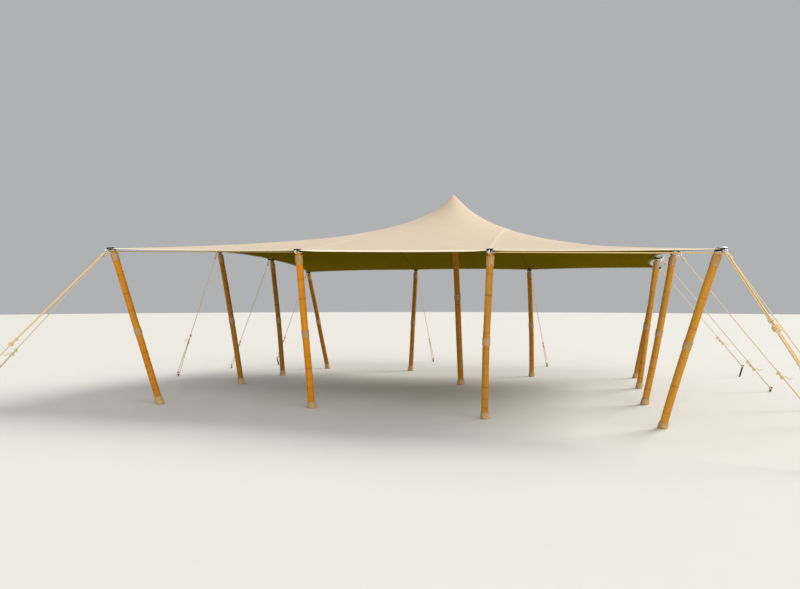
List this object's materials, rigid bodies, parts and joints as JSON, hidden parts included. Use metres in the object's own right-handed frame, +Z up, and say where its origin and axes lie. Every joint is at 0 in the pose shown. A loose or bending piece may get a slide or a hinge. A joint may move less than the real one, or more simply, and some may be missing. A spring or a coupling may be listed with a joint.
{
  "type": "stretch tent",
  "caption": "Stretch tent: an elastic beige sheet with a scalloped edge on a centre pole and leaning bamboo edge poles, held by guy ropes and ground stakes.",
  "frame": {"origin": "middle of the centre pole's foot, on the ground", "axes": "+Z up, +X along the front edge to the viewer's right, -Y out of the front edge"},
  "size_m": [12.4676, 9.6606, 3.568],
  "materials": {
    "sheet": "matte knitted stretch fabric, beige above and olive brown below",
    "webbing": "matte woven webbing",
    "bamboo": "varnished bamboo with grey-beige wrapped bands",
    "clamp": "satin black with bright steel shackles",
    "cap": "matte black",
    "rope": "matte laid rope",
    "stake": "dark rusted steel"
  },
  "bodies": {
    "root": {"canopy": "sheet", "hem_front": "webbing", "hem_right": "webbing", "hem_back": "webbing", "hem_left": "webbing", "strap_front_left": "webbing", "strap_front_right": "webbing", "pole_centre": "bamboo", "cap_centre": "cap", "pole_front_left": "bamboo", "clamp_front_left": "clamp", "pole_front_mid_left": "bamboo", "clamp_front_mid_left": "clamp", "pole_front_mid_right": "bamboo", "clamp_front_mid_right": "clamp", "pole_front_right": "bamboo", "clamp_front_right": "clamp", "pole_right_front": "bamboo", "clamp_right_front": "clamp", "pole_right_back": "bamboo", "clamp_right_back": "clamp", "pole_back_right": "bamboo", "clamp_back_right": "clamp", "pole_back_mid_right": "bamboo", "clamp_back_mid_right": "clamp", "pole_back_mid_left": "bamboo", "clamp_back_mid_left": "clamp", "pole_back_left": "bamboo", "clamp_back_left": "clamp", "pole_left_back": "bamboo", "clamp_left_back": "clamp", "pole_left_front": "bamboo", "clamp_left_front": "clamp", "guy_front_left_corner": "rope", "stake_front_left_corner": "stake", "guy_front_left_side": "rope", "stake_front_left_side": "stake", "guy_front_right_corner": "rope", "stake_front_right_corner": "stake", "guy_front_right_side": "rope", "stake_front_right_side": "stake", "guy_right_front": "rope", "stake_right_front": "stake", "guy_right_back": "rope", "stake_right_back": "stake", "guy_back_right": "rope", "stake_back_right": "stake", "guy_back_mid_right": "rope", "stake_back_mid_right": "stake", "guy_back_mid_left": "rope", "stake_back_mid_left": "stake", "guy_back_left": "rope", "stake_back_left": "stake", "guy_left_back": "rope", "stake_left_back": "stake", "guy_left_front": "rope", "stake_left_front": "stake"}
  },
  "joints": []
}
